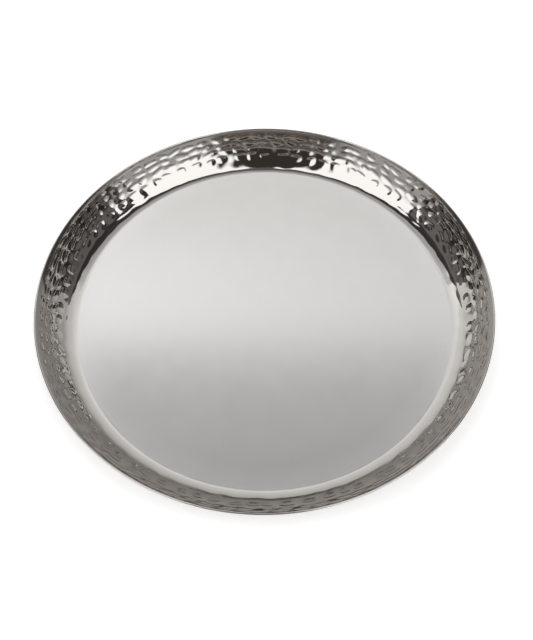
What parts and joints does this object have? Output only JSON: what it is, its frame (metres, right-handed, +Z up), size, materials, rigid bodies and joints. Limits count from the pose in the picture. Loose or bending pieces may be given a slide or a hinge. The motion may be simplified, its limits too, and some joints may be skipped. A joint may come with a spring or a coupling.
{
  "type": "thali plate",
  "caption": "Round shallow steel meal plate with a flat satin floor, a curved, outward-leaning hammered wall, a thin plain lip and a closed outer skin that stands flat on the table.",
  "frame": {"origin": "middle of the flat base, on the surface that the plate stands on", "axes": "+Z up along the plate's axis of revolution; the plate is round, so +X and +Y are free"},
  "size_m": [0.3, 0.3, 0.0262],
  "materials": {
    "dish_steel": "satin floor with a polished, hammered wall",
    "shell_steel": "polished, hammered wall with a spun satin base",
    "lip_steel": "polished weld"
  },
  "bodies": {
    "root": {"inner_dish": "dish_steel", "outer_shell": "shell_steel", "rim_weld": "lip_steel"}
  },
  "joints": []
}
